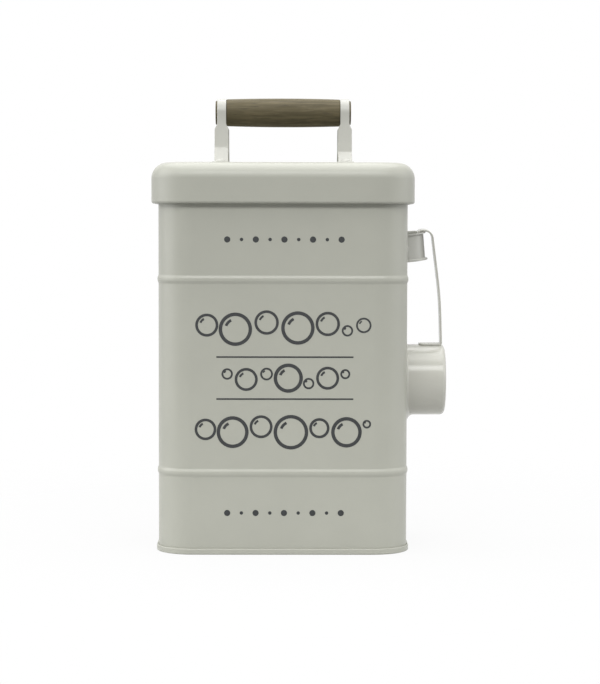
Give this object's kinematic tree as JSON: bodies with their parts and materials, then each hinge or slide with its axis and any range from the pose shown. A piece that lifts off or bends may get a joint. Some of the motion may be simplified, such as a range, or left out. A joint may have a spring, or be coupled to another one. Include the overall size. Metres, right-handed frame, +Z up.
{
  "type": "laundry caddy",
  "caption": "Lidded enamelled metal laundry caddy with a wooden-gripped handle on its lid and a scoop that hangs from a bracket on its side.",
  "frame": {"origin": "on the floor that the caddy stands on, in the middle of the whole outline with the scoop, 12.75 mm from the middle of the tin towards the scoop", "axes": "+Z up, -Y out of the front, +X to the side that carries the scoop"},
  "size_m": [0.222, 0.1404, 0.3399],
  "materials": {
    "enamel": "satin",
    "scoop_enamel": "gloss",
    "wood": "satin"
  },
  "bodies": {
    "tin": {"tin_body": "enamel", "base_pan": "enamel", "scoop_bracket": "enamel", "bracket_rivet_front": "enamel", "bracket_rivet_back": "enamel", "scoop_cup": "scoop_enamel", "scoop_handle": "scoop_enamel"},
    "lid": {"lid_shell": "enamel", "handle_strap_left": "enamel", "handle_strap_right": "enamel", "wooden_grip": "wood", "handle_rivet_left_front": "enamel", "handle_rivet_left_back": "enamel", "handle_rivet_right_front": "enamel", "handle_rivet_right_back": "enamel"}
  },
  "joints": [
    {"name": "lid_lift", "type": "slide", "parent": "tin", "child": "lid", "axis": [0, 0, 1], "range_m": [0, 0.12]}
  ]
}
